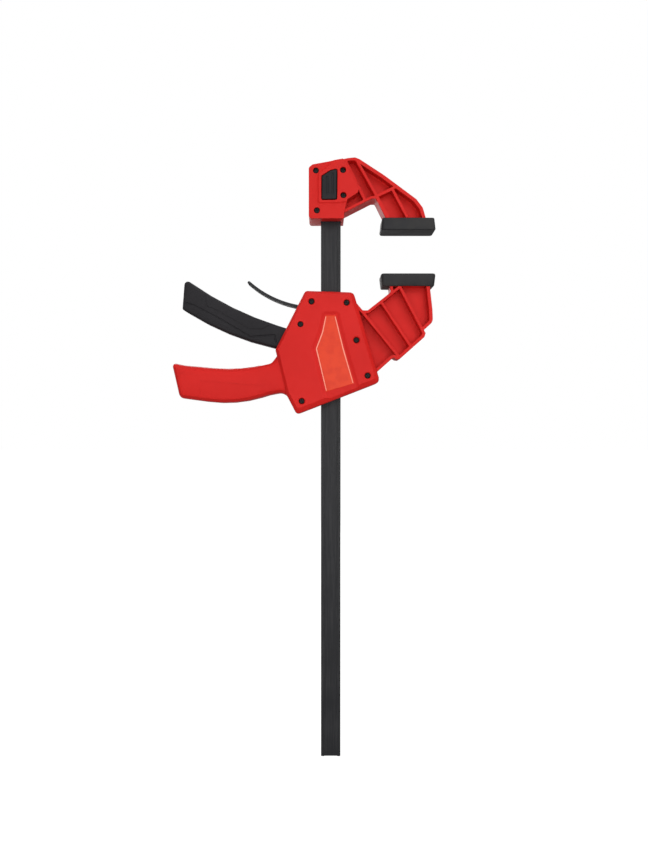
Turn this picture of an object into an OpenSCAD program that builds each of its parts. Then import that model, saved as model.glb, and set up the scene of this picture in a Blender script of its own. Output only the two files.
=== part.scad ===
// Quick release bar clamp: a bar with a fixed jaw at its top, and a moving head
// that a squeeze trigger walks up the bar.
// Front is -Y. The bar stands along Z. The origin is the middle of the fixed pad's clamping face.
// Every outline below is drawn in X and Z, from the bar's centre line and from that face.

/* [Bar] */
// Width of the steel bar across its face
bar_w = 19; // [17:0.5:19]
// Thickness of the steel bar
bar_t = 6; // [4:0.5:6]
// Length of bar below the fixed pad's clamping face
bar_below = 510; // [260:10:900]
// Width of the raised rim along each edge of the bar
rim_w = 3.1; // [2:0.1:5]
// Depth of the rolled hollow between the rims
hollow_d = 0.4; // [0.1:0.1:1]

/* [Pads] */
// Distance from the bar's centre line to the middle of the pads
throat = 73.7; // [73:0.1:74.5]
// Length of a pad, along the jaw
pad_l = 52; // [50:1:56]
// Width of a pad, across the jaw
pad_w = 29; // [28:1:34]
// Height of a pad, from its clamping face to its lip
pad_h = 11.8; // [11.8:0.1:12.4]
// Gap between the pads as the head stands
gap = 41; // [6:1:300]

/* [Moulding] */
// Thickness of the head and of the fixed jaw's block, front to back
head_t = 34; // [34:1:40]
// Thickness of both ribbed arms, front to back
arm_t = 24; // [22:0.5:24]
// Thickness of the web between an arm's ribs
web_t = 3; // [2:0.5:5]
// Thickness of an arm's ribs
rib = 2.7; // [2:0.1:3.2]
// Wall of the shells
wall = 3; // [2.4:0.1:3.2]
// Thickness of the handle, front to back
handle_t = 27; // [25:0.5:28]
// Thickness of the trigger's grip, front to back
trigger_t = 18; // [16:0.5:18]

/* [Screws] */
// Radius of a screw's head
screw_head_r = 2.55; // [2.4:0.05:2.9]
// Radius of a screw's shank
screw_shank_r = 1.45; // [1.2:0.05:1.45]

/* [Mechanism] */
// Thickness of one drive plate
plate_t = 2.5; // [2:0.1:3]
// Thickness of the brake lever's steel
brake_t = 2.8; // [2:0.1:3]
// Radius of the trigger's pivot pin
pin_r = 2.5; // [2:0.1:2.6]
// Running clearance round the bar and the moving pieces
gap_run = 0.3; // [0.25:0.05:0.4]

/* [Hidden] */

red = [0.80, 0.10, 0.09];
charcoal = [0.13, 0.13, 0.14];
steel = [0.62, 0.63, 0.65];
pad_grey = [0.17, 0.17, 0.18];
label_orange = [0.93, 0.28, 0.12];

eps = 0.01;
half_t = head_t / 2;
arm_half = arm_t / 2;
// Straight pieces in the arc of one corner
arc_steps = 4;
// The gap at which the outlines of the head are drawn
drawn_gap = 41;
// Bar above the fixed pad's clamping face, inside the fixed jaw
bar_above = 61.4;

// ---- plane geometry ----

function unit(v) = v / norm(v);
function left_of(v) = [-v.y, v.x];
function turned(v, a) = [v.x * cos(a) - v.y * sin(a), v.x * sin(a) + v.y * cos(a)];
function wrap(list, i) = list[(i + len(list)) % len(list)];

// A point of a straight line from a to b, at height z
function on_line(a, b, z) = [a.x + (b.x - a.x) * (z - a.y) / (b.y - a.y), z];

// The arc that rounds the corner "at" between its two neighbours
function corner_arc(before, at, after, r) =
    let (a = unit(before - at), b = unit(after - at),
         half = acos(a * b) / 2,
         middle = at + unit(a + b) * r / sin(half),
         start = at + a * r / tan(half) - middle,
         finish = at + b * r / tan(half) - middle,
         way = cross(start, finish) > 0 ? 1 : -1)
    [for (i = [0:arc_steps]) middle + turned(start, way * (180 - 2 * half) * i / arc_steps)];

// An outline from corners [x, z, radius], in anticlockwise order as seen from the front
function rounded(corners) = [for (i = [0:len(corners) - 1])
    let (c = corners[i], p = wrap(corners, i - 1), n = wrap(corners, i + 1))
    for (q = c[2] > 0 ? corner_arc([p.x, p.y], [c.x, c.y], [n.x, n.y], c[2]) : [[c.x, c.y]]) q];

// Corners drawn in by a distance of its own on each side; side i runs from corner i to the next.
// An outer corner's arc shrinks by as much, but keeps at least half its radius.
function drawn_in(corners, d) = [for (i = [0:len(corners) - 1])
    let (at = corners[i], p = wrap(corners, i - 1), q = wrap(corners, i + 1),
         m = left_of(unit([at.x - p.x, at.y - p.y])),
         n = left_of(unit([q.x - at.x, q.y - at.y])),
         c = m * n, before = wrap(d, i - 1), after = d[i],
         shift = (m * (before - c * after) + n * (after - c * before)) / (1 - c * c),
         r = cross(m, n) > 0 ? max(at[2] / 2, at[2] - after) : at[2] + after)
    [at.x + shift.x, at.y + shift.y, at[2] == 0 ? 0 : r]];

// An oblong outline between two corners
function oblong(x0, z0, x1, z1) = [[x0, z0], [x1, z0], [x1, z1], [x0, z1]];

// The outline of corners drawn in by d on every side
function inset(corners, d) = rounded(drawn_in(corners, [for (c = corners) d]));

// A straight rib from a to b, as an outline
function rib_outline(a, b, t) = let (side = left_of(unit(b - a)) * t / 2)
    [a - side, b - side, b + side, a + side];

// The triangles that fill an outline, cut off one ear at a time with the shortest cut first
function turn_at(a, b, c) = cross(b - a, c - b);
function holds(a, b, c, p) = turn_at(a, b, p) >= 0 && turn_at(b, c, p) >= 0 && turn_at(c, a, p) >= 0;
function is_ear(points, left, i) =
    let (ear = [wrap(left, i - 1), left[i], wrap(left, i + 1)],
         a = points[ear[0]], b = points[ear[1]], c = points[ear[2]])
    turn_at(a, b, c) > 0
    && len([for (k = left) if (len(search(k, ear)) == 0 && holds(a, b, c, points[k])) k]) == 0;
function triangles(points, left) = len(left) == 3 ? [left] :
    let (n = len(left),
         cuts = [for (i = [0:n - 1]) if (is_ear(points, left, i))
                 [norm(points[wrap(left, i + 1)] - points[wrap(left, i - 1)]), i]],
         shortest = min([for (c = cuts) c[0]]),
         i = [for (c = cuts) if (c[0] == shortest) c[1]][0])
    concat([[wrap(left, i - 1), left[i], wrap(left, i + 1)]],
           triangles(points, [for (k = [0:n - 1]) if (k != i) left[k]]));
function filled(outline) = triangles(outline, [for (i = [0:len(outline) - 1]) i]);

// ---- solids from outlines ----

module place() translate([-throat, 0, 0]) children();

// Stands a piece of the head on the bar
module on_head() translate([-throat, 0, drawn_gap - gap]) children();

// An outline drawn in X and Z, as a slab from y0 to y1
module slab(y0, y1) translate([0, y1, 0]) rotate([90, 0, 0]) linear_extrude(y1 - y0) children();

// A round solid along Y
module rod(at, r, y0, y1) translate([at.x, y1, at.y]) rotate([90, 0, 0])
    cylinder(h = y1 - y0, r = r, $fn = 48);

// A solid through rings of equal length, with triangles that close both ends
module skin(rings, ends) {
    n = len(rings[0]);
    last = len(rings) - 1;
    polyhedron(
        points = [for (ring = rings) for (p = ring) p],
        faces = concat(
            [for (t = ends) [t[2], t[1], t[0]]],
            [for (k = [0:last - 1]) for (i = [0:n - 1])
                let (j = (i + 1) % n) [k * n + i, k * n + j, (k + 1) * n + j, (k + 1) * n + i]],
            [for (t = ends) [for (i = t) last * n + i]]));
}

function at_y(outline, y) = [for (p = outline) [p.x, y, p.y]];
function at_z(outline, z) = [for (p = outline) [p.x, p.y, z]];

// The outline of a groove of width w along a line of points
function along(line, w) =
    let (last = len(line) - 1,
         aside = [for (i = [0:last])
             let (a = max(i, 1), b = min(i + 1, last),
                  m = left_of(unit(line[a] - line[a - 1])), n = left_of(unit(line[b] - line[b - 1])),
                  way = unit(m + n))
             way * w / 2 / (way * m)])
    concat(line - aside, [for (i = [last:-1:0]) line[i] + aside[i]]);

// Corners from -half to half in Y, with both long edges rounded over to radius r
module round_slab(corners, half, r) {
    edge = [for (k = [0:3]) let (a = 30 * k) [r * (1 - sin(a)), half - r * (1 - cos(a))]];
    skin(concat([for (e = edge) at_y(inset(corners, e[0]), -e[1])],
                [for (k = [3:-1:0]) at_y(inset(corners, edge[k][0]), edge[k][1])]),
         filled(inset(corners, r)));
}

// A flat shape sunk into both faces of a piece that reaches "half" from its middle
module sunk(half, depth) for (side = [0, 1]) mirror([0, side, 0])
    slab(-half - 1, -half + depth) children();

// A moulded arm: a middle web, a flange along each side of its edge, and straight ribs
module ribbed_arm(corners, flanges, ribs) {
    slab(-web_t / 2, web_t / 2) polygon(rounded(corners));
    slab(-arm_half, arm_half) intersection() {
        polygon(rounded(corners));
        union() {
            difference() {
                polygon(rounded(corners));
                polygon(rounded(drawn_in(corners, flanges)));
            }
            for (r = ribs) polygon(rib_outline(r[0], r[1], rib));
        }
    }
}

// ---- outlines: pads ----

// How far in each ring of a pad's outline lies, and its height
pad_rings = [[1.6, pad_h], [1.1, pad_h - 0.8], [0, 1.8], [0.25, 0.6], [0.9, 0]];
pad_corner_r = 3.6;
// The foot of a jaw, which fills the socket of its pad
foot_l = 32.6;
foot_w = arm_t - 2;
foot_h = 5;

// ---- outlines: fixed jaw ----

block_left = -21;
// The block reaches lower than the arm, which stands on the pad's lip
block_foot = 10.4;
cover_t = 5;
// The block, and its front plate: its right side follows the arm's first rib
block_corners = [
    [block_left, block_foot, 3], [12.4, block_foot, 0.8], [12.4, 16.4, 0], [15.6, 28.2, 1],
    [25.4, 34.6, 1], [26.2, 38.0, 1], [11.6, 66.3, 1.2], [-17.4, 61.1, 3], [block_left, 58.2, 3]];
// Rounding of the block's lower edge, at the front and at the back
foot_round = [1.8, 1.2];
fixed_arm_corners = [
    [10, 15.4, 0], [38.9, 30, 1.5], [42.8, 30, 1.5], [51.9, pad_h, 0], [90.2, pad_h, 0],
    [87.4, 21.4, 4], [81.3, 29.4, 6], [50.5, 52.1, 60], [26.9, 67.3, 2], [22.8, 68.8, 2.5],
    [16, 68.1, 0], [10, 66.8, 0]];
// Thickness of the flange along each side, from each corner to the next.
// An arm's pockets run out at its pad, so that side has none.
fixed_flanges = [2.5, 2.5, 2.8, -1, 3.4, 3.4, 3.3, 3.3, 3.0, 2.7, 2.5, 2.5];
// Ribs of the fixed arm, from point to point
fixed_ribs = [
    [[13.2, 67.0], [33.0, 27.6]], [[24.2, 66.6], [54.8, 12.4]],
    [[12.6, 17.6], [61.5, 41.1]], [[57.8, 40.2], [73.0, 12.4]]];
fixed_screw_at = [[-14.2, 55.4], [11.4, 55.6], [11.8, 32.0], [-13.3, 18.0]];
fixed_screw_reach = 16;
// Fit of the bar in the slot of the block
slot_fit = 0.1;

// ---- outlines: release button ----

face_step = 1.3;
button_corners = [[-8.3, 28.3, 0.8], [5.0, 28.5, 0.8], [5.3, 56.0, 0.8], [-0.6, 54.5, 6],
                  [-8.2, 49.6, 0.8]];
// The raised part of the cover: its corners beyond the cover's own outline are cut off there
frame_corners = [[-11.4, 25.4, 1], [7.6, 25.4, 3], [18, 27, 0], [30, 36, 0], [30, 40, 0],
                 [14, 72, 0], [4, 66, 1], [-4.8, 56.8, 6], [-11.4, 52, 2]];
// How far out and how deep the hollow edge of the raised part lies, from its face down
frame_edge = [[0, 0], [0.5, 0.5], [1.3, 0.95], [2.6, 1.2], [4.4, face_step]];
button_proud = 0.5;
button_gap = 0.9;
// Two grooves in the button's face: where each runs, their width and their depth
grooves = [[[-3.5, 33.2], [-3.5, 49.6]], [[1.6, 33.2], [1.6, 52.6]]];
groove_w = 1.9;
groove_d = 0.8;
// Plate behind the cover that keeps the button in
flange = [[-10.9, 25.8], [8.0, 25.8], [8.0, 58.4], [-10.9, 53.2]];
flange_y = [-11.8, -9.2];
// Yoke that reaches round the bar to the lock pin behind it
yoke_half = 12.3;
yoke_inner = 10.1;
yoke_z = [38, 47];
bridge_y = [4, 7];
lock_z = 42.5;
lock_r = 3;
// The well that holds the plate, and the slot that the yoke slides in
button_well = oblong(-11.4, 25.2, 8.6, 59.2);
yoke_slot = oblong(-12.8, yoke_z[0] - 0.4, 12.8, yoke_z[1] + 0.4);
slot_end = 14.4;
button_spring_r = 4.2;

// ---- outlines: the head ----

// Corners of the head's shells, clockwise from the lower left when seen from behind
head_corners = [[-32.6, -175.4, 3.4], [47.2, -144.3, 5], [21.6, -58.9, 5], [-24.4, -57.4, 4],
                [-53.0, -113.5, 2], [-42.5, -156.3, 8]];
// Width of the bevel round the front face, for the side that follows each corner
head_bevel = [5.0, 3.8, 2.4, 2.6, 3.0, 3.4];
head_right = [[24.2, -70.4], [44.3, -135.1]];
handle_corners = [
    [-145.2, -159.4, 6], [-91.8, -166.6, 120], [-58.5, -156.5, 25], [-47.2, -154.4, 8],
    [-40.8, -158.2, 5], [-34.0, -168.5, 0], [-20, -164, 0], [-20, -112, 0], [-52.0, -112, 0],
    [-51.5, -118.0, 6], [-57.2, -125.5, 6], [-85.7, -132.9, 150], [-139.5, -128.2, 25],
    [-152.8, -125.6, 2.6]];
screw_at = [[-18.5, -68], [14.9, -69.1], [-28.9, -89.5], [24.2, -104.6], [34.9, -138.3],
            [-27.8, -162.5]];
// The two screws that also go through the moving jaw's root
jaw_screws = [3, 4];
label_corners = [[-4.6, -153.6, 0.5], [22.2, -145.4, 0.5], [12.5, -113.1, 40], [4.4, -81.2, 0.5],
                 [-5.1, -81.2, 0.5], [-8.7, -97.2, 20], [-14.6, -112.5, 3]];
label_t = 0.3;
// The sloping edge of the label's recess: how far out it starts, and where it reaches the floor.
// The recess runs out through the bevel below the label.
recess_d = 1.2;
recess_out = 4.6;
recess_in = 1.2;
recess_run_out = 9;

// Round posts of the shells, for their screws and for the ends of the trigger's pin
post_r = 3.4;
pin_post_r = 4.6;
// Thickness of the ribs inside the handle, and rounding of its long edges
handle_rib_t = 2;
handle_round = 6.5;
// A shallow panel, sunk into both faces of the handle
handle_panel = [[-125.8, -143.0, 0.6], [-122, -172, 0], [-84, -172, 0], [-64, -147.7, 0]];
handle_panel_d = 0.4;

// ---- outlines: moving jaw ----

root_in = 3.4;
// The arm carries its pad by the lip
arm_high = -drawn_gap - pad_h;
arm_top = on_line(head_right[0], head_right[1], -71.4) - [root_in, 0];
arm_low = on_line(head_right[0], head_right[1], -136) - [root_in, 0];
moving_arm_corners = [
    [arm_low.x, arm_low.y, 0], [44.6, -134.2, 0], [59.9, -120.6, 1.2], [62.2, -122.3, 1],
    [65.4, -122.6, 1.8], [89.4, -101.2, 2], [90.6, -97.4, 1], [88.8, -94.6, 0.8],
    [97.5, -86.7, 7], [97.0, -75.0, 8], [94.4, arm_high, 0], [56.3, arm_high, 0],
    [57.0, -58.7, 1], [35.2, -75.8, 2], [30.4, -75.8, 2], [23.4, -67.5, 0],
    [arm_top.x, arm_top.y, 0]];
moving_flanges = [2.9, 2.9, 2.9, 2.9, 3.2, 3.2, 3, 3.2, 3.5, 3.5, -1, 2.8, 2.8, 2.8, 2.8, 1.2, 1.2];
moving_ribs = [
    [[28.0, -74.5], [65.0, -119.8]], [[47.6, -66.9], [77.0, -111.1]],
    [[64.5, -51.0], [88.8, -97.0]], [[50.6, -65.4], [65.4, -53.8]]];
// The root, which the shells clamp, and the hole in it for the trigger's pivot
root_outline = [[15.2, -88], [29.3, -134], [31.5, -142.2], [41.0, -138.4], [42.4, -133.2],
                [28.4, -88]];
root_half = 10;
root_hole_r = 7.2;

// ---- places: mechanism ----

pivot = [15.6, -97];
ring_r = 5;
prong_y = [4, 8.5];
nose = [-15.2, -101.5];
nose_r = 2.5;
plate_x = [-19, 16.5];
plate_y = 8;
plate_top = nose.y - nose_r;
drive_seat = -149;
brake_hook = [21.5, -81.3];
brake_tilt = 6.6;
brake_seat = -88;
spring_r = 11.4;
brake_spring_top = -82.1;
button_wire = 0.7;
drive_wire = 1.6;
brake_wire = 1.2;
trigger_corners = [
    [-142.6, -74.2, 2], [-99.8, -101.1, 260], [-38, -114.7, 3], [-25, -112.5, 0], [-25, -97.8, 0],
    [-95.6, -75.9, 300], [-140.2, -44.6, 3.5]];
// Moulded lines in both faces of the trigger: the width and the depth of each, and its points
trigger_lines = [
    [1.4, 0.9, [[-146, -66.2], [-131.3, -70.4], [-106.7, -83.2], [-77, -100.8], [-54, -99.2],
                [-52.6, -106]]],
    [1, 0.4, [[-120.8, -58.5], [-118.5, -71.9], [-107.7, -76], [-78.6, -93.3], [-66.2, -93.3],
              [-59.6, -90.1]]]];
// Fork of the trigger, which straddles the bar, and the gap between its prongs
fork = [[-29, -109], [-23.4, -109], [-22.2, -103.2], [-19.5, -101.8], [15.6, -102], [15.6, -92.1],
        [-4, -93.6], [-29, -99.6]];
fork_gap = oblong(-12.7, -130, 40, -80);
// Room that the trigger sweeps through the shells and the root of the handle
trigger_room = [[-70, -83], [-70, -128.3], [-22, -128.3], [-22, -99], [-42, -91.2]];
// Room that the brake lever sweeps where it leaves the shells
brake_room = [[-42, -66], [-42, -84.5], [-22, -84.5], [-22, -71.8]];
brake_room_half = 6.6;
// Webs across the shells that the springs bear on
webs = [[brake_seat - 2.5, brake_seat], [drive_seat - 3, drive_seat]];
// Brake lever: the slotted plate round the bar, and the strip that leaves the shells
blade = [45, 18];
blade_over = 1;
strip_w = 12;

// ---- shared shapes ----

module bar_room(low, high) translate([-bar_w / 2 - gap_run, -bar_t / 2 - gap_run, low])
    cube([bar_w + 2 * gap_run, bar_t + 2 * gap_run, high - low]);

// Height of a screw's head, and the size of its crossed recess
screw_head_h = 2;
cross = [3.4, 1.2, 0.8];

// A pan-head screw along Y whose head's face is at y and whose shank is "reach" long
module pan_screw(at, y, reach) difference() {
    union() {
        rod(at, screw_head_r, y, y + screw_head_h);
        rod(at, screw_shank_r, y + screw_head_h - eps, y + screw_head_h + reach);
    }
    for (a = [0, 90]) translate([at.x, y, at.y]) rotate([0, a, 0])
        cube([cross.x, 2 * cross.y, cross.z], center = true);
}

// The hole for a pan-head screw whose head's face is at y
module screw_hole(at, y, low) {
    rod(at, screw_shank_r + 0.25, y, low);
    rod(at, screw_head_r + 0.3, -half_t - 1, y + screw_head_h);
}

// A coil of round wire along Z, from z0 to z1, with its middle line at radius r
module coil(r, wire, turns, z0, z1) {
    per_turn = 18;
    steps = turns * per_turn;
    rise = z1 - z0 - wire;
    skin([for (k = [steps:-1:0])
        let (a = 360 * k / per_turn, z = z0 + wire / 2 + rise * k / steps)
        [for (s = [0:7]) let (w = 45 * s, d = r - wire / 2 * cos(w))
            [d * cos(a), d * sin(a), z + wire / 2 * sin(w)]]], [for (i = [1:6]) [0, i, i + 1]]);
}

function pad_ring(in) =
    inset([for (c = oblong(-pad_l / 2, -pad_w / 2, pad_l / 2, pad_w / 2)) [c.x, c.y, pad_corner_r]], in);

// A pad along X, with its clamping face at z = 0 and its lip at pad_h
module pad_boot() difference() {
    skin([for (e = pad_rings) at_z(pad_ring(e[0]), e[1])], filled(pad_ring(0)));
    // socket for the jaw's foot
    translate([-foot_l / 2, -foot_w / 2, pad_h - foot_h]) cube([foot_l, foot_w, foot_h + 1]);
}

// The foot on a jaw, which its pad is drawn over
module foot() translate([throat - foot_l / 2, -foot_w / 2, pad_h - foot_h])
    cube([foot_l, foot_w, foot_h + eps]);

// ---- fixed jaw ----

module bar() place() color(charcoal) difference() {
    translate([-bar_w / 2, -bar_t / 2, -bar_below]) cube([bar_w, bar_t, bar_below + bar_above]);
    // hollows between the rims, which end inside the block
    for (side = [-1, 1])
        translate([-bar_w / 2 + rim_w, side * bar_t / 2 - hollow_d, -bar_below - 1])
            cube([bar_w - 2 * rim_w, 2 * hollow_d, bar_below + 15]);
    rod([0, lock_z], lock_r + gap_run, -bar_t, bar_t);
}

// The hollow of the block: the bar's slot, and the room for the button's yoke
module block_room() {
    translate([-bar_w / 2 - slot_fit, -bar_t / 2 - slot_fit, 0])
        cube([bar_w + 2 * slot_fit, bar_t + 2 * slot_fit, bar_above + 2 * slot_fit]);
    slab(-half_t, -bar_t / 2) polygon(button_well);
    slab(-half_t, slot_end) polygon(yoke_slot);
}

// Everything above the block's rounded lower edge
module above_foot() translate([-40, 0, 0]) rotate([90, 0, 90]) linear_extrude(80) polygon(rounded(
    [[-half_t, block_foot, foot_round[0]], [half_t, block_foot, foot_round[1]],
     [half_t, 90, 0], [-half_t, 90, 0]]));

module fixed_jaw() place() color(red) difference() {
    union() {
        intersection() {
            slab(-half_t + cover_t, half_t) polygon(rounded(block_corners));
            above_foot();
        }
        ribbed_arm(fixed_arm_corners, fixed_flanges, fixed_ribs);
        foot();
    }
    block_room();
    for (at = fixed_screw_at) rod(at, screw_shank_r + 0.05, -half_t, 6);
}

// The outline of the cover's raised part, a distance outside its corners
function frame(out) = inset(frame_corners, -out);

module fixed_jaw_cover() place() color(red) difference() {
    intersection() {
        union() {
            slab(-half_t + face_step, -half_t + cover_t) polygon(rounded(block_corners));
            intersection() {
                slab(-half_t, -half_t + cover_t) polygon(rounded(block_corners));
                skin(concat([for (e = frame_edge) at_y(frame(e[0]), -half_t + e[1])],
                            [at_y(frame(frame_edge[4][0]), -half_t + face_step + 1)]), filled(frame(0)));
            }
        }
        above_foot();
    }
    slab(-half_t - 1, 0) polygon(inset(button_corners, -button_gap));
    for (at = fixed_screw_at) screw_hole(at, fixed_screw_y, 0);
}

// Depth of the face of the fixed jaw's screws
fixed_screw_y = -half_t + 1.9;

module fixed_jaw_screws() place() color(charcoal)
    for (at = fixed_screw_at) pan_screw(at, fixed_screw_y, fixed_screw_reach);

module fixed_pad() color(pad_grey) pad_boot();

module release_button() place() color(charcoal) difference() {
    union() {
        slab(-half_t - button_proud, flange_y[1]) polygon(rounded(button_corners));
        slab(flange_y[0], flange_y[1]) {
            polygon(flange);
            polygon(yoke);
        }
        slab(bridge_y[0], bridge_y[1]) polygon(yoke);
        slab(flange_y[0], bridge_y[1]) difference() {
            polygon(yoke);
            polygon(oblong(-yoke_inner, 0, yoke_inner, bar_above));
        }
    }
    for (g = grooves) slab(-half_t - 1, -half_t - button_proud + groove_d)
        polygon(rib_outline(g[0], g[1], groove_w));
    rod([0, lock_z], lock_r + 0.02, 0, half_t);
}
yoke = oblong(-yoke_half, yoke_z[0], yoke_half, yoke_z[1]);

module lock_pin() place() color(steel) rod([0, lock_z], lock_r, -1, bridge_y[1]);

module button_spring() place() color(steel) translate([0, 0, lock_z]) rotate([-90, 0, 0])
    coil(button_spring_r, button_wire, 4, bridge_y[1], slot_end);

// ---- the head's shells ----

// How far in and at what depth each ring of the face's bevel lies
face_rings = [[1, half_t], [0.82, half_t - 0.5], [0.16, half_t - 2.9], [0, half_t - 4.6]];
function head_ring(share) = rounded(drawn_in(head_corners, [for (b = head_bevel) b * share]));

module head_body() {
    skin(concat([for (e = face_rings) at_y(head_ring(e[0]), -e[1])],
                [for (k = [3:-1:0]) at_y(head_ring(face_rings[k][0]), face_rings[k][1])]),
         filled(head_ring(1)));
    round_slab(handle_corners, handle_t / 2, handle_round);
}

// Everything that is open inside the two shells
module head_room() {
    difference() {
        slab(-half_t + wall, half_t - wall) polygon(inset(head_corners, wall));
        for (w = webs) translate([-60, -half_t, w[0]]) cube([120, head_t, w[1] - w[0]]);
    }
    slab(-handle_t / 2 + wall, handle_t / 2 - wall) difference() {
        polygon(inset(handle_corners, wall + 1));
        polygon(oblong(-54, -180, 0, -100));
        for (x = [-120:24:-60]) polygon(rib_outline([x, -180], [x + 8, -120], handle_rib_t));
    }
    slab(-trigger_t / 2 - 2 * gap_run, trigger_t / 2 + 2 * gap_run) polygon(trigger_room);
    slab(-brake_room_half, brake_room_half) polygon(brake_room);
    slab(-arm_half - 0.02, arm_half + 0.02) polygon(rounded(moving_arm_corners));
    slab(-root_half - 0.02, root_half + 0.02) polygon(root_outline);
    bar_room(-190, -40);
}

module bosses() {
    for (i = [0:len(screw_at) - 1])
        let (inner = len(search(i, jaw_screws)) > 0 ? root_half + 0.02 : 0)
        for (side = [0, 1]) mirror([0, side, 0]) rod(screw_at[i], post_r, -half_t + wall - eps, -inner);
    for (side = [0, 1]) mirror([0, side, 0])
        rod(pivot, pin_post_r, -half_t + wall - eps, -prong_y[1] - 0.4);
}

module shell_half() {
    difference() {
        union() {
            difference() {
                head_body();
                head_room();
            }
            bosses();
        }
        rod(pivot, pin_r + 0.02, -half_t + wall, half_t - wall);
        sunk(handle_t / 2, handle_panel_d) polygon(rounded(handle_panel));
    }
}

module front_shell() on_head() color(red) difference() {
    intersection() {
        shell_half();
        half_space(-1);
    }
    for (at = screw_at) screw_hole(at, shell_screw_y, 1);
    skin([at_y(recess(recess_out, recess_run_out), -half_t - 0.2),
          at_y(recess(recess_in, recess_run_out), -half_t + recess_d)], filled(recess(0, recess_run_out)));
}

// The outline of the label's recess, a distance outside the label's sides
function recess(out, below) =
    rounded(drawn_in(label_corners, [for (i = [0:len(label_corners) - 1]) i == 0 ? -below : -out]));

// Everything in front of the shells' parting plane, or behind it
module half_space(side) translate([-200, side < 0 ? -head_t : 0, -220]) cube([300, head_t, 220]);

module rear_shell() on_head() color(red) difference() {
    intersection() {
        shell_half();
        half_space(1);
    }
    for (at = screw_at) rod(at, screw_shank_r + 0.05, -1, half_t - wall);
}

// Depth of the face of the shells' screws, and their reach
shell_screw_y = -half_t + 0.8;
shell_screw_reach = 24;

module shell_screws() on_head() color(charcoal)
    for (at = screw_at) pan_screw(at, shell_screw_y, shell_screw_reach);

module label() on_head() color(label_orange)
    slab(-half_t + recess_d - label_t, -half_t + recess_d) polygon(rounded(label_corners));

// ---- moving jaw ----

module moving_jaw() on_head() color(red) difference() {
    union() {
        ribbed_arm(moving_arm_corners, moving_flanges, moving_ribs);
        slab(-root_half, root_half) polygon(root_outline);
        translate([0, 0, -drawn_gap]) mirror([0, 0, 1]) foot();
    }
    rod(pivot, root_hole_r, -half_t, half_t);
    for (i = jaw_screws) rod(screw_at[i], screw_shank_r + 0.25, -half_t, half_t);
}

module moving_pad() color(pad_grey) translate([0, 0, -gap]) mirror([0, 0, 1]) pad_boot();

// ---- trigger and drive ----

module trigger() on_head() color(charcoal) difference() {
    union() {
        round_slab(trigger_corners, trigger_t / 2, 3);
        slab(-prong_y[1], prong_y[1]) polygon(fork);
        rod(pivot, ring_r, -prong_y[1], prong_y[1]);
        rod(nose, nose_r, -prong_y[1], prong_y[1]);
    }
    slab(-prong_y[0], prong_y[0]) polygon(fork_gap);
    rod(pivot, pin_r + 0.06, -half_t, half_t);
    for (line = trigger_lines) sunk(trigger_t / 2, line[1]) polygon(along(line[2], line[0]));
}

module trigger_pin() on_head() color(steel) rod(pivot, pin_r, -pin_half, pin_half);
pin_half = half_t - wall - 0.2;

module drive_plate(top) difference() {
    translate([plate_x[0], -plate_y, top - plate_t])
        cube([plate_x[1] - plate_x[0], 2 * plate_y, plate_t]);
    bar_room(top - plate_t - 1, top + 1);
}

module drive_plate_upper() on_head() color(steel) drive_plate(plate_top);

module drive_plate_lower() on_head() color(steel) drive_plate(plate_top - plate_t);

module drive_spring() on_head() color(steel)
    coil(spring_r, drive_wire, 6, drive_seat, plate_top - 2 * plate_t);

// ---- brake ----

// The brake lever's own X runs from its hook towards its tip, before it is tilted
module brake_lever() on_head() color(charcoal)
    translate([brake_hook.x, 0, brake_hook.y]) rotate([0, brake_tilt, 0]) mirror([1, 0, 0]) difference() {
        union() {
            translate([-blade_over, -blade.y / 2, -brake_t / 2]) cube([blade.x, blade.y, brake_t]);
            slab(-strip_w / 2, strip_w / 2) polygon(brake_strip);
        }
        translate([brake_hook.x - bar_w / 2 - 0.6, -bar_t / 2 - gap_run, -brake_t])
            cube([bar_w + 1.3, bar_t + 2 * gap_run, 2 * brake_t]);
    }
// The strip rises from the plate, and outside the shells it curves up in an arc to a round tip
strip_root = 30;
strip_start = [50.2, 3.7];
strip_bend = 1.4;
strip_r = 97;
strip_turn = 33.4;
function strip_point(t, side) =
    let (a = strip_bend + strip_turn * t)
    strip_start + strip_r * [sin(a) - sin(strip_bend), cos(strip_bend) - cos(a)]
    + side * brake_t / 2 * [-sin(a), cos(a)];
brake_strip = concat(
    [[strip_root, -brake_t / 2]], [for (k = [0:16]) strip_point(k / 16, -1)],
    [for (w = [-70:20:70]) let (a = strip_bend + strip_turn + w)
        strip_point(1, 0) + brake_t / 2 * [cos(a), sin(a)]],
    [for (k = [16:-1:0]) strip_point(k / 16, 1)], [[strip_root, brake_t / 2]]);

module brake_spring() on_head() color(steel)
    coil(spring_r, brake_wire, 3, brake_seat, brake_spring_top);

bar();
fixed_jaw();
fixed_jaw_cover();
fixed_jaw_screws();
fixed_pad();
release_button();
lock_pin();
button_spring();
front_shell();
rear_shell();
moving_jaw();
moving_pad();
shell_screws();
label();
trigger();
trigger_pin();
drive_plate_upper();
drive_plate_lower();
drive_spring();
brake_lever();
brake_spring();
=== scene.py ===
import math

import bmesh
import bpy
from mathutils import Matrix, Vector
from mathutils.geometry import intersect_point_line


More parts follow.
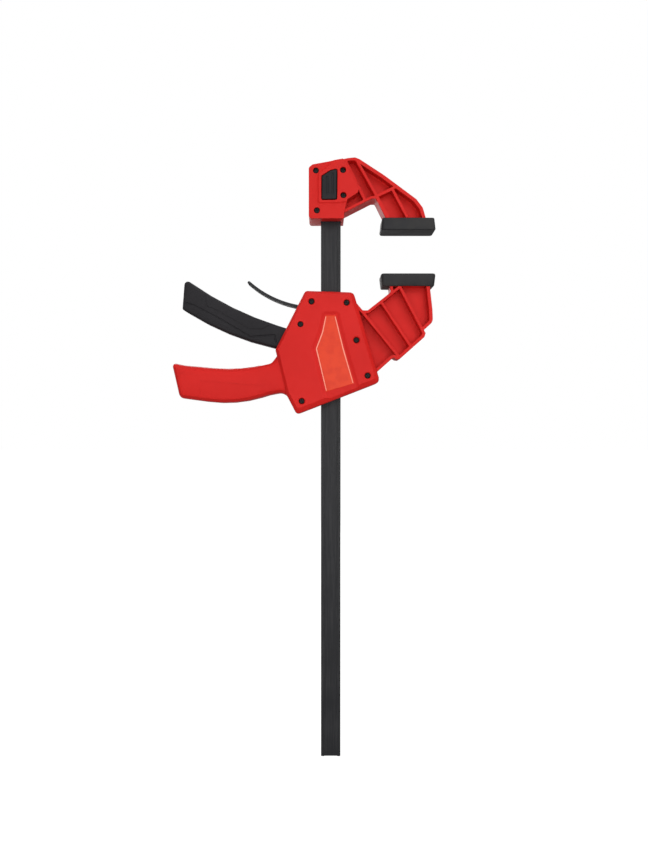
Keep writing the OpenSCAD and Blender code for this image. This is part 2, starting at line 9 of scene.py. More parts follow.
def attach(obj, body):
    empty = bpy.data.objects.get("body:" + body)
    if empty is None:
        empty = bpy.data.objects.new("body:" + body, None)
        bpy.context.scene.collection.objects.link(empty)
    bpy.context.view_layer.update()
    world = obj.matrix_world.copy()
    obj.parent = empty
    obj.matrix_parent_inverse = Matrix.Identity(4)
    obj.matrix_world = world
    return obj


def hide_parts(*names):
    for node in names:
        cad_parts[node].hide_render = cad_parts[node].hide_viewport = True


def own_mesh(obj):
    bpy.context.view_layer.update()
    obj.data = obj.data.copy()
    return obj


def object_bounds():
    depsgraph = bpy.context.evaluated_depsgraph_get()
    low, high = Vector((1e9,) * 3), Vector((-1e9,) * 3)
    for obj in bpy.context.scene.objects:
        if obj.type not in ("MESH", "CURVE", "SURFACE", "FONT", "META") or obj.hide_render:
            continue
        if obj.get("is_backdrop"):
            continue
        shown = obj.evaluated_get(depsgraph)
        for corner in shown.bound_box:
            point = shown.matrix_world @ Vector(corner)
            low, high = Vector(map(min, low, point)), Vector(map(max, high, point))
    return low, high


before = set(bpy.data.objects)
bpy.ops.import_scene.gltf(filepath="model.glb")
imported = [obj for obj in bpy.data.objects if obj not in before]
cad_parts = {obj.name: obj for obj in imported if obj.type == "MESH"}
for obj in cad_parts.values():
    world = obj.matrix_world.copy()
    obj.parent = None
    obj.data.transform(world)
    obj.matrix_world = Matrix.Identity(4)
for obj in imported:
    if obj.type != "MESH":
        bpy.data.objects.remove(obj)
cad_low, cad_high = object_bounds()


# ---------------------------------------------------------------------------------------------
# Bar: one length of rolled flat steel with a raised rim along each edge and a shallow hollow
# between the rims, blacked and lightly oiled. It is pinned into the fixed jaw at its top.

BAR_EDGE = 0.0006
BAR_BLACK = (0.0115, 0.0115, 0.0135)
BAR_WORN = (0.026, 0.026, 0.028)
ROLLED = (1.0, 1.0, 0.03)  # streaks run up the bar

# Cleaning a solid: what counts as one point, as one flat face and as a corner of its rim, and how
# a face with holes is cut.
SAME_POINT = 4e-6
ON_THE_CUT = 1e-7
FLAT_TURN = math.radians(0.6)
FLAT = math.cos(FLAT_TURN)
CORNER = math.radians(16.0)
NEAR_LEVEL = 0.1
CUT_TRIES = 24
CUT_BETTER = 1.0001
CUT_CLEAR = 0.0006

# Rounding an edge: the turns that end a run of edges or count as none, the shares of its width
# that are tried, and what shows as a fleck.
BEND = math.radians(34.0)
STRAIGHT = math.radians(165.0)
AHEAD = 0.5
NO_LIMIT = 1.0
WIDTH_STEPS = (1.0, 0.7, 0.5, 0.35, 0.25, 0.15, 0.1, 0.0)
FLECK_AREA = 2e-8
FLECK_TURN = 0.2
FLECK_TRIES = 7
FLECK_REACH = 1.5


class Value:
    """A node's socket that can be written in an expression; each operator adds its Math node."""

    def __init__(self, nodes, socket):
        self.nodes = nodes
        self.socket = socket

    def math(self, operation, other=0.0, swap=False):
        left, right = (other, self) if swap else (self, other)
        return self.nodes.node("ShaderNodeMath", {"operation": operation}, {0: left, 1: right}).out(0)

    def __add__(self, other):
        return self.math("ADD", other)

    def __sub__(self, other):
        return self.math("SUBTRACT", other)

    def __rsub__(self, other):
        return self.math("SUBTRACT", other, swap=True)

    def __mul__(self, other):
        return self.math("MULTIPLY", other)

    def __truediv__(self, other):
        return self.math("DIVIDE", other)

    def __pow__(self, other):
        return self.math("POWER", other)

    __radd__ = __add__
    __rmul__ = __mul__

    def to_range(self, low, high, start=0.0, end=1.0):
        """This value, from low..high onto start..end, and held there outside it."""
        settings = {"interpolation_type": "SMOOTHSTEP"}
        inputs = {0: self, 1: low, 2: high, 3: start, 4: end}
        return self.nodes.node("ShaderNodeMapRange", settings, inputs).out(0)


class Placed:
    """A node that has been added to a tree."""

    def __init__(self, nodes, node):
        self.nodes = nodes
        self.node = node

    def out(self, key):
        return Value(self.nodes, self.node.outputs[key])


class Nodes:
    """A node tree with one way to add a node: its type, its settings, then its sockets."""

    def __init__(self, tree):
        self.tree = tree
        self.tree.nodes.clear()

    def node(self, kind, settings=None, inputs=None):
        made = self.tree.nodes.new(kind)
        for key, setting in (settings or {}).items():
            setattr(made, key, setting)
        for key, given in (inputs or {}).items():
            for value in given if isinstance(given, list) else [given]:
                if isinstance(value, Value):
                    self.tree.links.new(value.socket, made.inputs[key])
                else:
                    made.inputs[key].default_value = value
        return Placed(self, made)


class Finish(Nodes):
    """A node material, named for what it is made of."""

    def __init__(self, name):
        self.material = bpy.data.materials.new(name)
        self.material.use_nodes = True
        super().__init__(self.material.node_tree)

    def place(self):
        """Object coordinates."""
        return self.node("ShaderNodeTexCoord").out("Object")

    def noise(self, scale, detail=3.0, roughness=0.5, at=None):
        """Cloudy noise, with so many clouds to the metre."""
        inputs = {"Vector": at or self.place(), "Scale": scale, "Detail": detail, "Roughness": roughness}
        return self.node("ShaderNodeTexNoise", None, inputs).out("Fac")

    def stretched(self, scale):
        """Object coordinates, scaled by its own factor along each axis."""
        inputs = {"Vector": self.place(), "Scale": scale}
        return self.node("ShaderNodeMapping", None, inputs).out("Vector")

    def mix(self, share, first, second):
        """The first colour where the share is 0, and the second where it is 1."""
        settings = {"data_type": "RGBA"}
        colours = [(*c, 1.0) if isinstance(c, tuple) else c for c in (first, second)]
        inputs = {0: share, 6: colours[0], 7: colours[1]}
        return self.node("ShaderNodeMix", settings, inputs).out(2)

    def bumped(self, height, strength, distance):
        """The surface's normal over a relief, whose full height is the distance in metres."""
        inputs = {"Height": height, "Strength": strength, "Distance": distance}
        return self.node("ShaderNodeBump", None, inputs).out("Normal")

    def surface(self, colour, roughness, normal, **constants):
        """The finished material, with its even values given by the names of their sockets."""
        inputs = {"Base Color": colour, "Roughness": roughness, "Normal": normal}
        inputs.update({key.replace("_", " "): value for key, value in constants.items()})
        shader = self.node("ShaderNodeBsdfPrincipled", None, inputs)
        self.node("ShaderNodeOutputMaterial", None, {"Surface": shader.out("BSDF")})
        return self.material


def groups(items, neighbours):
    """The groups that items fall into, each grown from its first item through its neighbours."""
    waiting = set(items)
    for first in items:
        if first in waiting:
            waiting.remove(first)
            group = [first]
            for item in group:
                for other in neighbours(item, first):
                    if other in waiting:
                        waiting.remove(other)
                        group.append(other)
            yield group


def level_beside(face, first):
    """The faces beside a face that lie level with the first one of its flat region."""
    return [other for edge in face.edges for other in edge.link_faces
            if other.normal.dot(first.normal) > FLAT]


def rims_of(region):
    """The closed rims of a flat face, each as its points, with the outer rim last."""
    inside = set(region)
    following = {}
    for face in region:
        for loop in face.loops:
            if not any(other in inside for other in loop.edge.link_faces if other is not face):
                following.setdefault(loop.vert, []).append(loop.link_loop_next.vert)
    rims = []
    while following:
        start = next(iter(following))
        rim = [start]
        while True:
            ahead = following[rim[-1]].pop()
            if not following[rim[-1]]:
                del following[rim[-1]]
            if ahead is start:
                break
            rim.append(ahead)
        rims.append([vert.co.copy() for vert in rim])
    return sorted(rims, key=lambda rim: sum((a - b).length for a, b in zip(rim, rim[1:])))


def clearest_cut(rim, corners, normal):
    """The straight cut through a hole that keeps furthest from every corner of its flat face."""
    upright = normal.cross(Vector((0.0, 0.0, 1.0)))
    first = upright.normalized() if upright.length > NEAR_LEVEL else Vector((1.0, 0.0, 0.0))
    best = (-1.0, None, None)
    for across in (first, normal.cross(first).normalized()):
        reach = [point.dot(across) for point in rim]
        low, high = min(reach), max(reach)
        for step in range(1, CUT_TRIES):
            at = low + (high - low) * step / CUT_TRIES
            clear = min([abs(corner.dot(across) - at) for corner in corners] + [high - at, at - low])
            if clear > best[0] * CUT_BETTER:
                best = (clear, across * at + rim[0] - across * rim[0].dot(across), across)
    return best[1], best[2]


def corners_of(rim):
    """The points of a rim where it turns, and not those along its round stretches."""
    turns = []
    for index, point in enumerate(rim):
        before = point - rim[index - 1]
        after = rim[(index + 1) % len(rim)] - point
        if before.angle(after, 0.0) > CORNER:
            turns.append(point)
    return turns


def passes_through(cut, rim):
    """Whether a cut already parts a hole, well inside its two ends."""
    sides = [(point - cut[0]).dot(cut[1]) for point in rim]
    return min(sides) < -CUT_CLEAR and max(sides) > CUT_CLEAR


def split_holes(made):
    """Cuts each flat face that has holes across every hole, so that no face is left with one."""
    for region in list(groups(made.faces, level_beside)):
        rims = rims_of(region)
        corners = [corner for rim in rims for corner in corners_of(rim)]
        normal = region[0].normal.copy()
        faces = region
        cuts = []
        for rim in rims[:-1]:
            if any(passes_through(cut, rim) for cut in cuts):
                continue
            middle, across = clearest_cut(rim, corners, normal)
            cuts.append((middle, across))
            verts = dict.fromkeys(vert for face in faces for vert in face.verts)
            edges = dict.fromkeys(edge for face in faces for edge in face.edges)
            cut = bmesh.ops.bisect_plane(
                made, geom=[*verts, *edges, *faces], dist=ON_THE_CUT, plane_co=middle, plane_no=across)
            for item in cut["geom_cut"]:
                if isinstance(item, bmesh.types.BMEdge) and len(item.link_faces) == 2:
                    if all(face.normal.dot(normal) > FLAT for face in item.link_faces):
                        item.seam = True
            faces = [item for item in cut["geom"]
                     if isinstance(item, bmesh.types.BMFace) and item.is_valid]


def solid_of(node, name):
    """A clean copy of a CAD solid: its loose triangles are merged back into whole flat faces."""
    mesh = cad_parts[node].data.copy()
    mesh.name = name
    mesh.materials.clear()
    if "custom_normal" in mesh.attributes:
        mesh.attributes.remove(mesh.attributes["custom_normal"])
    made = bmesh.new()
    made.from_mesh(mesh)
    bmesh.ops.remove_doubles(made, verts=made.verts, dist=SAME_POINT)
    made.normal_update()
    split_holes(made)
    bmesh.ops.dissolve_limit(
        made, angle_limit=FLAT_TURN, verts=made.verts, edges=made.edges, delimit={"SEAM"})
    for face in made.faces:
        face.smooth = True
    made.to_mesh(mesh)
    made.free()
    piece = bpy.data.objects.new(name, mesh)
    bpy.context.scene.collection.objects.link(piece)
    return piece


def closest_on(near, far, point):
    """The point of a straight edge that lies closest to another point."""
    share = intersect_point_line(point, near, far)[1]
    return near.lerp(far, min(max(share, 0.0), 1.0))


def room_beside(loop, sharp):
    """How far an edge can be set back over one of its faces before it meets anything else there."""
    start = loop.vert.co
    end = loop.link_loop_next.vert.co
    length = loop.edge.calc_length()
    inward = loop.face.normal.cross((end - start) / length)
    room = NO_LIMIT
    for other in loop.face.loops:
        if other in (loop, loop.link_loop_prev, loop.link_loop_next):
            continue
        near, far = other.vert.co, other.link_loop_next.vert.co
        gaps = [near - intersect_point_line(near, start, end)[0]]
        gaps += [closest_on(near, far, corner) - corner for corner in (start, end)]
        if not 0.0 < intersect_point_line(near, start, end)[1] < 1.0:
            gaps.pop(0)
        for gap in gaps:
            if gap.dot(inward) > AHEAD * gap.length:
                room = min(room, gap.length / 2.0)
    following = loop.link_loop_next
    for here, beside in ((loop, loop.link_loop_prev.edge), (following, following.edge)):
        turn = here.calc_angle()
        if here.is_convex and turn < STRAIGHT:
            if beside in sharp:
                room = min(room, length * math.tan(turn / 2.0) / 2.0)
            else:
                room = min(room, beside.calc_length() * math.sin(turn))
    return room


def runs_of(sharp):
    """The runs of sharp edges that carry on from one another without a corner, and share a width."""
    def onward(edge, first):
        return [other for vert in edge.verts for other in vert.link_edges if other in sharp
                and (edge.other_vert(vert).co - vert.co).angle(
                    vert.co - other.other_vert(vert).co, 0.0) < BEND]
    return groups(sharp, onward)


def flecks(piece):
    """The corners of each triangle that a bevel has folded over, which would show as a black fleck."""
    shown = piece.evaluated_get(bpy.context.evaluated_depsgraph_get())
    mesh = shown.to_mesh()
    mesh.calc_loop_triangles()
    corners = []
    for triangle in mesh.loop_triangles:
        if triangle.area > FLECK_AREA:
            facing = mesh.polygons[triangle.polygon_index].normal
            normals = [mesh.corner_normals[loop].vector for loop in triangle.loops]
            if min(normal.dot(facing) for normal in [triangle.normal, *normals]) < FLECK_TURN:
                corners += [mesh.vertices[vert].co.copy() for vert in triangle.vertices]
    shown.to_mesh_clear()
    return corners


def touches(edge, corner, width):
    """Whether a point lies within a bevel's reach of an edge."""
    start, end = (vert.co for vert in edge.verts)
    return (closest_on(start, end, corner) - corner).length < FLECK_REACH * width


def shares_of(made, width, sharper_than):
    """Each run of sharp edges of a mesh, with the share of a bevel's width that it has room for."""
    limit = math.radians(sharper_than)
    sharp = dict.fromkeys(edge for edge in made.edges
                          if len(edge.link_loops) == 2 and edge.calc_face_angle() > limit)
    shares = []
    for run in runs_of(sharp):
        room = min(room_beside(loop, sharp) for edge in run for loop in edge.link_loops)
        shares.append([run, next(step for step in WIDTH_STEPS if room > step * width or not step)])
    return shares


def soften(piece, width, sharper_than=30.0, segments=3):
    """Rounds over every edge that is sharper than an angle, and less where there is little room."""
    bevel = piece.modifiers.new("rounded_edges", "BEVEL")
    bevel.width = width
    bevel.segments = segments
    bevel.limit_method = "WEIGHT"
    bevel.use_clamp_overlap = False
    bevel.harden_normals = True
    made = bmesh.new()
    made.from_mesh(piece.data)
    made.normal_update()
    weight = made.edges.layers.float.new("bevel_weight_edge")
    shares = shares_of(made, width, sharper_than)
    for _ in range(FLECK_TRIES):
        for run, share in shares:
            for edge in run:
                edge[weight] = share
                edge.smooth = share > 0.0
        made.to_mesh(piece.data)
        piece.data.update()
        corners = flecks(piece)
        if not corners:
            break
        for item in shares:
            run, share = item
            if share and any(touches(edge, corner, width) for edge in run for corner in corners):
                item[1] = WIDTH_STEPS[WIDTH_STEPS.index(share) + 1]
    made.free()
    return piece


def finished(piece, material, body, node):
    """Gives a piece its material and its body, and lets it stand for its CAD node."""
    piece.data.materials.clear()
    piece.data.materials.append(material)
    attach(piece, body)
    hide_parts(node)


def blacked_steel(name, dark, worn):
    """Blacked steel: long faint rolling streaks, cloudy oil, and a fine even grain."""
    steel = Finish(name)
    streaks = steel.noise(scale=900.0, detail=4.0, roughness=0.6, at=steel.stretched(ROLLED))
    clouds = steel.noise(scale=38.0)
    grain = steel.noise(scale=5200.0, detail=2.0)
    wear = (streaks * 0.6 + clouds * 0.4).to_range(0.42, 0.68)
    oiled = clouds.to_range(0.3, 0.7, start=0.48, end=0.6)
    normal = steel.bumped(streaks * 0.7 + grain * 0.3, strength=0.16, distance=0.00006)
    return steel.surface(steel.mix(wear, dark, worn), oiled, normal, Specular_IOR_Level=0.25)


bar = soften(solid_of("bar", "bar_rolled"), BAR_EDGE)
bar_blacked = blacked_steel("bar_blacked", BAR_BLACK, BAR_WORN)
finished(bar, bar_blacked, "root", "bar")


# ---------------------------------------------------------------------------------------------
# Fixed jaw: a glass-filled nylon moulding, coloured right through. Its block is slotted for the
# bar, and straight ribs stand on a middle web. Its cover is a second moulding, with a raised frame.

MOULD_EDGE = 0.0006
COVER_EDGE = 0.00038
RED = (0.60, 0.015, 0.012)
RED_DEEP = (0.52, 0.011, 0.009)
RED_MATT = 0.5
RED_GRAIN = 0.00005
MATT_SPREAD = 0.035


def moulded_plastic(name, colour, deep, roughness, grain_height):
    """Moulded plastic: faint flow marks in the colour, and the fine spark grain of the tool."""
    plastic = Finish(name)
    flow = plastic.noise(scale=26.0, detail=4.0, roughness=0.55)
    grain = plastic.noise(scale=3400.0, roughness=0.65)
    patches = plastic.noise(scale=210.0)
    share = flow.to_range(0.3, 0.75, end=0.55) + grain.to_range(0.45, 0.75, end=0.12)
    matt = patches.to_range(0.3, 0.7, roughness - MATT_SPREAD, roughness + MATT_SPREAD)
    normal = plastic.bumped(grain * 0.8 + patches * 0.2, strength=0.22, distance=grain_height)
    return plastic.surface(plastic.mix(share, colour, deep), matt, normal, Specular_IOR_Level=0.12)


red_nylon = moulded_plastic("red_nylon", RED, RED_DEEP, RED_MATT, RED_GRAIN)
fixed_jaw = soften(solid_of("fixed_jaw", "fixed_jaw_moulding"), MOULD_EDGE)
finished(fixed_jaw, red_nylon, "root", "fixed_jaw")
fixed_cover = soften(solid_of("fixed_jaw_cover", "fixed_jaw_cover_plate"), COVER_EDGE)
finished(fixed_cover, red_nylon, "root", "fixed_jaw_cover")


# ---------------------------------------------------------------------------------------------
# Screws: black pan-head thread-forming screws with a crossed recess. Four hold the cover on the
# fixed jaw, and six hold the head's shells together.

SCREW_BLACK = (0.006, 0.005, 0.005)
SCREW_WORN = (0.014, 0.012, 0.011)
SCREW_SHARP = math.radians(32.0)
SCREW_SEED = 11
PAN_HEIGHT = 0.002
PAN_SIDES = 40
CROWN_RINGS = 8
CROWN_DROP = 0.3
CROWN_CURVE = 3.0
SHANK_RADIUS = 0.00145
SHANK_SIDES = 24
CROSS_LENGTH = 0.0035
CROSS_WIDTH = 0.0009
CROSS_DEPTH = 0.0013


class Recipe(Nodes):
    """A Geometry Nodes tree with named inputs, which ends in plain meshes of one material."""

    def __init__(self, name, sizes):
        super().__init__(bpy.data.node_groups.new(name, "GeometryNodeTree"))
        sockets = self.tree.interface
        sockets.new_socket("Places", in_out="INPUT", socket_type="NodeSocketGeometry")
        for key, size in sizes.items():
            kind = "NodeSocketInt" if isinstance(size, int) else "NodeSocketFloat"
            sockets.new_socket(key, in_out="INPUT", socket_type=kind)
        sockets.new_socket("Made", in_out="OUTPUT", socket_type="NodeSocketGeometry")
        self.sizes = sizes
        self.given = self.node("NodeGroupInput").out

    def vector(self, x=0.0, y=0.0, z=0.0):
        return self.node("ShaderNodeCombineXYZ", None, {0: x, 1: y, 2: z}).out(0)

    def moved(self, shape, offset):
        inputs = {"Geometry": shape, "Translation": offset}
        return self.node("GeometryNodeTransform", None, inputs).out(0)

    def cut(self, operation, parts, body=None):
        inputs = {"Mesh 2": parts} if body is None else {"Mesh 1": body, "Mesh 2": parts}
        settings = {"operation": operation, "solver": "EXACT"}
        return self.node("GeometryNodeMeshBoolean", settings, inputs).out("Mesh")

    def ends_with(self, shape, material):
        """Ends the recipe with real meshes of one material."""
        real = self.node("GeometryNodeRealizeInstances", None, {"Geometry": shape}).out(0)
        done = self.node("GeometryNodeSetMaterial", None, {"Geometry": real, "Material": material})
        self.node("NodeGroupOutput", None, {0: done.out(0)})

    def followed(self, name, places):
        """The plain object that the recipe makes at a list of points."""
        mesh = bpy.data.meshes.new(name)
        mesh.from_pydata(places, [], [])
        piece = bpy.data.objects.new(name, mesh)
        bpy.context.scene.collection.objects.link(piece)
        maker = piece.modifiers.new("recipe", "NODES")
        maker.node_group = self.tree
        for socket in self.tree.interface.items_tree:
            if socket.name in self.sizes:
                maker[socket.identifier] = self.sizes[socket.name]
        shown = piece.evaluated_get(bpy.context.evaluated_depsgraph_get())
        made = bpy.data.meshes.new_from_object(shown)
        piece.modifiers.clear()
        piece.data = made
        made.name = name
        made.shade_smooth()
        made.set_sharp_from_angle(angle=SCREW_SHARP)
        return piece


def screw_recipe(name, radius, length, material):
    """A pan-head screw at each point, its face towards the front, turned about itself as it came."""
    recipe = Recipe(name, {
        "Head radius": radius, "Head height": PAN_HEIGHT, "Shank radius": SHANK_RADIUS, "Length": length,
        "Cross length": CROSS_LENGTH, "Cross width": CROSS_WIDTH, "Cross depth": CROSS_DEPTH,
        "Seed": SCREW_SEED})
    given = recipe.given

    blank = recipe.node("GeometryNodeMeshCylinder", {"fill_type": "TRIANGLE_FAN"}, {
        "Vertices": PAN_SIDES, "Side Segments": 1, "Fill Segments": CROWN_RINGS,
        "Radius": given("Head radius"), "Depth": given("Head height")}).out("Mesh")
    position = recipe.node("GeometryNodeInputPosition").out(0)
    at = recipe.node("ShaderNodeSeparateXYZ", None, {0: position}).out
    outward = (at("X") * at("X") + at("Y") * at("Y")) / (given("Head radius") * given("Head radius"))
    crown = recipe.node("GeometryNodeSetPosition", None, {
        "Geometry": blank, "Selection": at("Z").math("GREATER_THAN", 0.0),
        "Offset": recipe.vector(z=outward ** CROWN_CURVE * given("Head height") * -CROWN_DROP)}).out(0)
    head = recipe.moved(crown, recipe.vector(z=given("Head height") * -0.5))

    rod = recipe.node("GeometryNodeMeshCylinder", None, {
        "Vertices": SHANK_SIDES, "Radius": given("Shank radius"),
        "Depth": given("Length") - given("Head height") * 0.5}).out("Mesh")
    shank = recipe.moved(rod, recipe.vector(z=given("Length") * -0.5 - given("Head height") * 0.25))

    long, wide, deep = given("Cross length"), given("Cross width"), given("Cross depth") * 2.0
    arms = [recipe.node("GeometryNodeMeshCube", None, {"Size": recipe.vector(*size, deep)}).out("Mesh")
            for size in ((long, wide), (wide, long))]
    screw = recipe.cut("DIFFERENCE", arms, recipe.cut("UNION", [head, shank]))

    spin = recipe.node("FunctionNodeRandomValue", {"data_type": "FLOAT"}, {
        "Min": 0.0, "Max": math.pi, "Seed": given("Seed")}).out("Value")
    facing = recipe.vector(math.pi / 2.0, spin)
    turned = recipe.node("FunctionNodeEulerToRotation", None, {0: facing}).out(0)
    placed = recipe.node("GeometryNodeInstanceOnPoints", None, {
        "Points": given("Places"), "Instance": screw, "Rotation": turned}).out(0)
    recipe.ends_with(placed, material)
    return recipe


def joined_to(vert, first):
    """The points that an edge joins to a point."""
    return [edge.other_vert(vert) for edge in vert.link_edges]


def separate_solids(node):
    """The lowest and highest corner of each separate solid in a CAD node."""
    made = bmesh.new()
    made.from_mesh(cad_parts[node].data)
    bmesh.ops.remove_doubles(made, verts=made.verts, dist=SAME_POINT)
    for solid in groups(made.verts, joined_to):
        yield [Vector([end(vert.co[axis] for vert in solid) for axis in range(3)])
               for end in (min, max)]
    made.free()


def oxide(name, dark, worn):
    """Black oxide on steel: an even dull black, rubbed paler in clouds."""
    steel = Finish(name)
    cloud = steel.noise(scale=420.0)
    rubbed = steel.mix(cloud.to_range(0.4, 0.75), dark, worn)
    dull = cloud.to_range(0.3, 0.7, start=0.42, end=0.58)
    normal = steel.bumped(steel.noise(scale=5200.0, detail=2.0), strength=0.2, distance=0.00004)
    return steel.surface(rubbed, dull, normal, Specular_IOR_Level=0.2)


screw_black = oxide("screw_black_oxide", SCREW_BLACK, SCREW_WORN)
for node, body in (("fixed_jaw_screws", "root"), ("shell_screws", "head")):
    boxes = list(separate_solids(node))
    low, high = boxes[0]
    recipe = screw_recipe(node + "_recipe", (high.x - low.x) / 2.0, high.y - low.y, screw_black)
    middles = sorted(((low.x + high.x) / 2.0, low.y, (low.z + high.z) / 2.0) for low, high in boxes)
    screws = recipe.followed(node + "_pan_head", middles)
    finished(screws, screw_black, body, node)


# ---------------------------------------------------------------------------------------------
# Pads: soft boots of dark rubber, pressed over the feet of the two jaws, with a fine matt skin
# and a rounded rim.

PAD_EDGE = 0.0014
PAD_SHARP = 32.0
PAD_GREY = (0.013, 0.0125, 0.0145)
PAD_RUBBED = (0.024, 0.023, 0.023)


def boot_rubber():
    """Dark rubber: a matt skin with a faint paler bloom where it is handled."""
    rubber = Finish("boot_rubber")
    bloom = rubber.noise(scale=60.0, detail=4.0)
    skin = rubber.noise(scale=2600.0, detail=2.0, roughness=0.7)
    colour = rubber.mix(bloom.to_range(0.35, 0.7), PAD_GREY, PAD_RUBBED)
    matt = bloom.to_range(0.3, 0.7, start=0.58, end=0.7)
    normal = rubber.bumped(skin, strength=0.3, distance=0.00006)
    return rubber.surface(colour, matt, normal, Specular_IOR_Level=0.28)


pad_rubber = boot_rubber()
for node, body in (("fixed_pad", "root"), ("moving_pad", "head")):
    pad = soften(solid_of(node, node + "_boot"), PAD_EDGE, PAD_SHARP)
    finished(pad, pad_rubber, body, node)


# ---------------------------------------------------------------------------------------------
# Release button: black nylon, with upright ridges for the thumb. It slides front to back on a
# yoke that carries the pin which locks the bar.

BLACK = (0.0195, 0.0182, 0.0205)
BLACK_DEEP = (0.013, 0.0122, 0.0138)
BLACK_MATT = 0.52
BLACK_GRAIN = 0.00006
BUTTON_EDGE = 0.00025

black_nylon = moulded_plastic("black_nylon", BLACK, BLACK_DEEP, BLACK_MATT, BLACK_GRAIN)
button = soften(solid_of("release_button", "release_button_cap"), BUTTON_EDGE)
finished(button, black_nylon, "release_button", "release_button")


# ---------------------------------------------------------------------------------------------
# Head: two glass-filled shells, screwed together round the bar, which carry the handle in one
# piece with them, and the ribbed jaw that they hold between them. The front shell is recessed for
# the label.

SHELL_EDGE = 0.0014
SHELL_SHARP = 21.0
SHELL_SEGMENTS = 4

for node in ("front_shell", "rear_shell"):
    shell = soften(solid_of(node, node + "_moulding"), SHELL_EDGE, SHELL_SHARP, SHELL_SEGMENTS)
    finished(shell, red_nylon, "head", node)

moving_jaw = soften(solid_of("moving_jaw", "moving_jaw_moulding"), MOULD_EDGE)
finished(moving_jaw, red_nylon, "head", "moving_jaw")


# ---------------------------------------------------------------------------------------------
# Label: printed film in the recess of the front shell, bare but for a thin pale border along its
# two long sides.

LABEL_ORANGE = (0.70, 0.041, 0.006)
LABEL_DEEP = (0.64, 0.032, 0.005)
LABEL_PALE = (0.85, 0.29, 0.21)
LABEL_MARGIN = 0.0003
LABEL_BORDER = 0.001
LABEL_CORNER = 0.0012
LABEL_END = 0.004


def front_of(made):
    """The face of a mesh that lies furthest to the front."""
    return min(made.faces, key=lambda face: face.calc_center_median().y)


def bordered(film):
    """Marks a border along the long sides of a film's front face, in an attribute of its faces."""
    made = bmesh.new()
    made.from_mesh(film.data)
    border = made.faces.layers.float.new("border")
    bmesh.ops.remove_doubles(made, verts=list(front_of(made).verts), dist=LABEL_CORNER)
    front = front_of(made)
    bmesh.ops.inset_region(made, faces=[front], thickness=LABEL_MARGIN)
    for face in bmesh.ops.inset_region(made, faces=[front], thickness=LABEL_BORDER)["faces"]:
        longest = max(face.edges, key=lambda edge: edge.calc_length())
        along = longest.verts[1].co - longest.verts[0].co
        face[border] = 0.0 if abs(along.x) > max(abs(along.z), LABEL_END) else 1.0
    for face in made.faces:
        face.smooth = False
    made.to_mesh(film.data)
    made.free()
    return film


def printed_film():
    """Printed film: slightly uneven orange ink, and pale ink where the border runs."""
    film = Finish("label_film")
    border = film.node("ShaderNodeAttribute", {"attribute_name": "border"}).out("Fac")
    ink = film.noise(scale=150.0)
    ground = film.mix(ink.to_range(0.35, 0.7), LABEL_ORANGE, LABEL_DEEP)
    satin = ink.to_range(0.3, 0.7, start=0.34, end=0.42)
    normal = film.bumped(ink, strength=0.12, distance=0.00004)
    return film.surface(film.mix(border, ground, LABEL_PALE), satin, normal, Specular_IOR_Level=0.25)


label = bordered(solid_of("label", "label_film_bare"))
finished(label, printed_film(), "head", "label")


# ---------------------------------------------------------------------------------------------
# Trigger: black nylon, squeezed towards the handle. It turns on a steel pin, and its forked nose
# pushes the drive plates.

TRIGGER_EDGE = 0.0006

trigger = soften(solid_of("trigger", "trigger_grip"), TRIGGER_EDGE)
finished(trigger, black_nylon, "trigger", "trigger")


# ---------------------------------------------------------------------------------------------
# Inside pieces: zinc-plated steel. The trigger's nose pushes two drive plates down the bar, a
# pin locks the bar in the fixed jaw, and springs bring the plates, lever and button back.

ZINC = (0.52, 0.53, 0.54)
ZINC_DULL = (0.36, 0.36, 0.36)
DRAWN = (0.15, 1.0, 1.0)  # lines run out along the jaws


def plated_steel():
    """Bright zinc plate: drawn lines along the steel, dulled in clouds."""
    zinc = Finish("zinc_plate")
    drawn = zinc.noise(scale=1500.0, roughness=0.6, at=zinc.stretched(DRAWN))
    clouds = zinc.noise(scale=160.0, detail=4.0)
    dull = (clouds * 0.7 + drawn * 0.3).to_range(0.38, 0.66)
    satin = clouds.to_range(0.3, 0.7, start=0.26, end=0.42)
    normal = zinc.bumped(drawn, strength=0.15, distance=0.00003)
    return zinc.surface(zinc.mix(dull, ZINC, ZINC_DULL), satin, normal, Metallic=1.0)


zinc_plate = plated_steel()
for node in ("lock_pin", "trigger_pin", "drive_plate_upper", "drive_plate_lower"):
    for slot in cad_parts[node].material_slots:
        slot.material = zinc_plate


def coil_spring(node, body):
    """A spring's coil, with a mesh of its own, on the body that holds its first end."""
    coil = solid_of(node, node + "_coil")
    finished(coil, zinc_plate, body, node)
    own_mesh(coil)


coil_spring("drive_spring", "head")
coil_spring("brake_spring", "head")
coil_spring("button_spring", "release_button")


# ---------------------------------------------------------------------------------------------
# Brake lever: a strip of pressed steel, blacked, that curves up to the thumb outside the head. Its
# slotted end inside grips the bar until the lever is pressed.

LEVER_EDGE = 0.0004
LEVER_BLACK = (0.012, 0.0125, 0.014)
LEVER_WORN = (0.024, 0.025, 0.027)

lever = soften(solid_of("brake_lever", "brake_lever_strip"), LEVER_EDGE)
lever_blacked = blacked_steel("lever_blacked", LEVER_BLACK, LEVER_WORN)
finished(lever, lever_blacked, "brake_lever", "brake_lever")


# ---------------------------------------------------------------------------------------------
# Studio: a pale floor under the clamp and a white surround, lit by broad soft lamps: a key, a
# fill and a low one in front, one above, and one behind.

AIR_LIGHT = 0.45
MIRRORED = 0.1
WHITE = (1.0, 1.0, 1.0, 1.0)
FLOOR_REACH = 6.0
FLOOR_DROP = 0.0005
FLOOR_GREY = (0.35, 0.35, 0.35, 1.0)
FLOOR_GLOW = 0.88
CAMERA_AT = (-0.08026, -0.780, -0.17091)
CAMERA_PITCH = 1.571
LENS = 33.417
SENSOR = 36.0


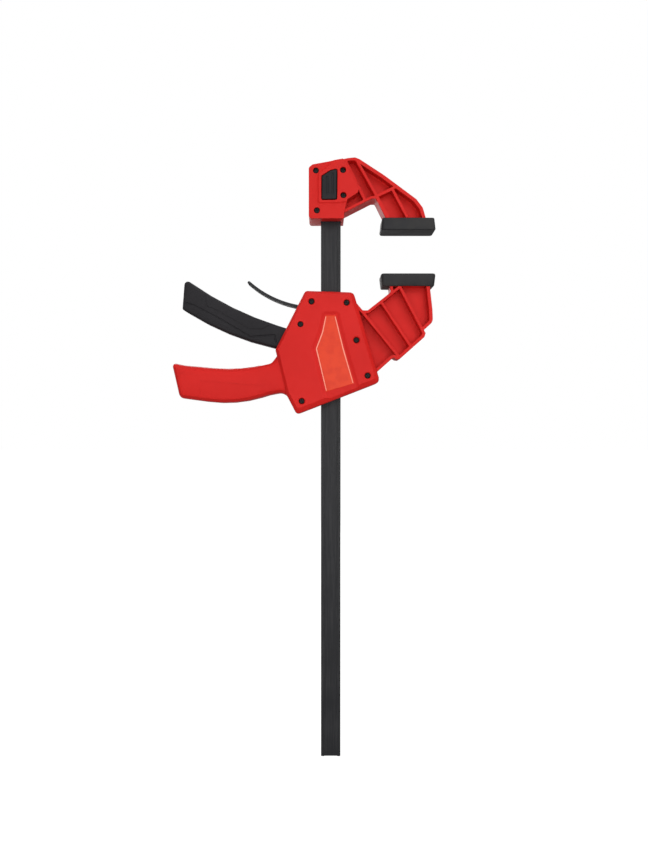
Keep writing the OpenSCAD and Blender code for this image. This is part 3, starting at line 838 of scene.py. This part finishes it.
def seen_directly(nodes):
    """1 where the camera or glass looks and less where gloss does, so that the surround shows white."""
    path = nodes.node("ShaderNodeLightPath")
    seen = path.out("Is Camera Ray").math("MAXIMUM", path.out("Is Glossy Ray") * MIRRORED)
    return seen.math("MAXIMUM", path.out("Is Transmission Ray"))


world = bpy.data.worlds.new("studio_air")
bpy.context.scene.world = world
world.use_nodes = True
air = Nodes(world.node_tree)
brightness = seen_directly(air) * (1.0 - AIR_LIGHT) + AIR_LIGHT
sky = air.node("ShaderNodeBackground", None, {"Color": WHITE, "Strength": brightness})
air.node("ShaderNodeOutputWorld", None, {"Surface": sky.out(0)})

floor_corners = [(x * FLOOR_REACH, y * FLOOR_REACH, cad_low.z - FLOOR_DROP)
                 for x, y in ((-1, -1), (1, -1), (1, 1), (-1, 1))]
floor_mesh = bpy.data.meshes.new("floor")
floor_mesh.from_pydata(floor_corners, [], [(0, 1, 2, 3)])
floor = bpy.data.objects.new("floor", floor_mesh)
bpy.context.scene.collection.objects.link(floor)
pale = Finish("pale_floor")
matt = pale.node("ShaderNodeBsdfDiffuse", None, {"Color": FLOOR_GREY})
glow = pale.node("ShaderNodeEmission", None, {"Strength": seen_directly(pale) * FLOOR_GLOW})
both = pale.node("ShaderNodeAddShader", None, {0: matt.out(0), 1: glow.out(0)})
pale.node("ShaderNodeOutputMaterial", None, {"Surface": both.out(0)})
floor_mesh.materials.append(pale.material)
floor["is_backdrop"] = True


def lamp(name, at, size, power):
    """A round soft lamp, aimed at the middle of the clamp."""
    light = bpy.data.lights.new(name, "AREA")
    light.shape = "DISK"
    light.size = size
    light.energy = power
    holder = bpy.data.objects.new(name, light)
    holder.location = at
    aim = (cad_low + cad_high) / 2 - Vector(at)
    holder.rotation_euler = aim.to_track_quat("-Z", "Y").to_euler()
    bpy.context.scene.collection.objects.link(holder)


lamp("key", (0.45, -1.3, 0.55), size=0.9, power=9.5)
lamp("fill", (-0.7, -1.3, 0.0), size=1.2, power=5.0)
lamp("top", (0.0, 0.1, 1.3), size=1.0, power=6.0)
lamp("low", (0.15, -1.1, -0.42), size=0.7, power=4.5)
lamp("back", (-0.3, 1.4, 0.3), size=1.2, power=9.0)

camera_data = bpy.data.cameras.new("camera")
camera_data.lens = LENS
camera_data.sensor_width = SENSOR
camera = bpy.data.objects.new("camera", camera_data)
camera.location = CAMERA_AT
camera.rotation_euler = (math.radians(90.0 - CAMERA_PITCH), 0.0, 0.0)
bpy.context.scene.collection.objects.link(camera)
bpy.context.scene.camera = camera
bpy.context.scene.view_settings.view_transform = "Standard"

low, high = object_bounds()
{"cad": [list(cad_low), list(cad_high)], "visual": [list(low), list(high)]}
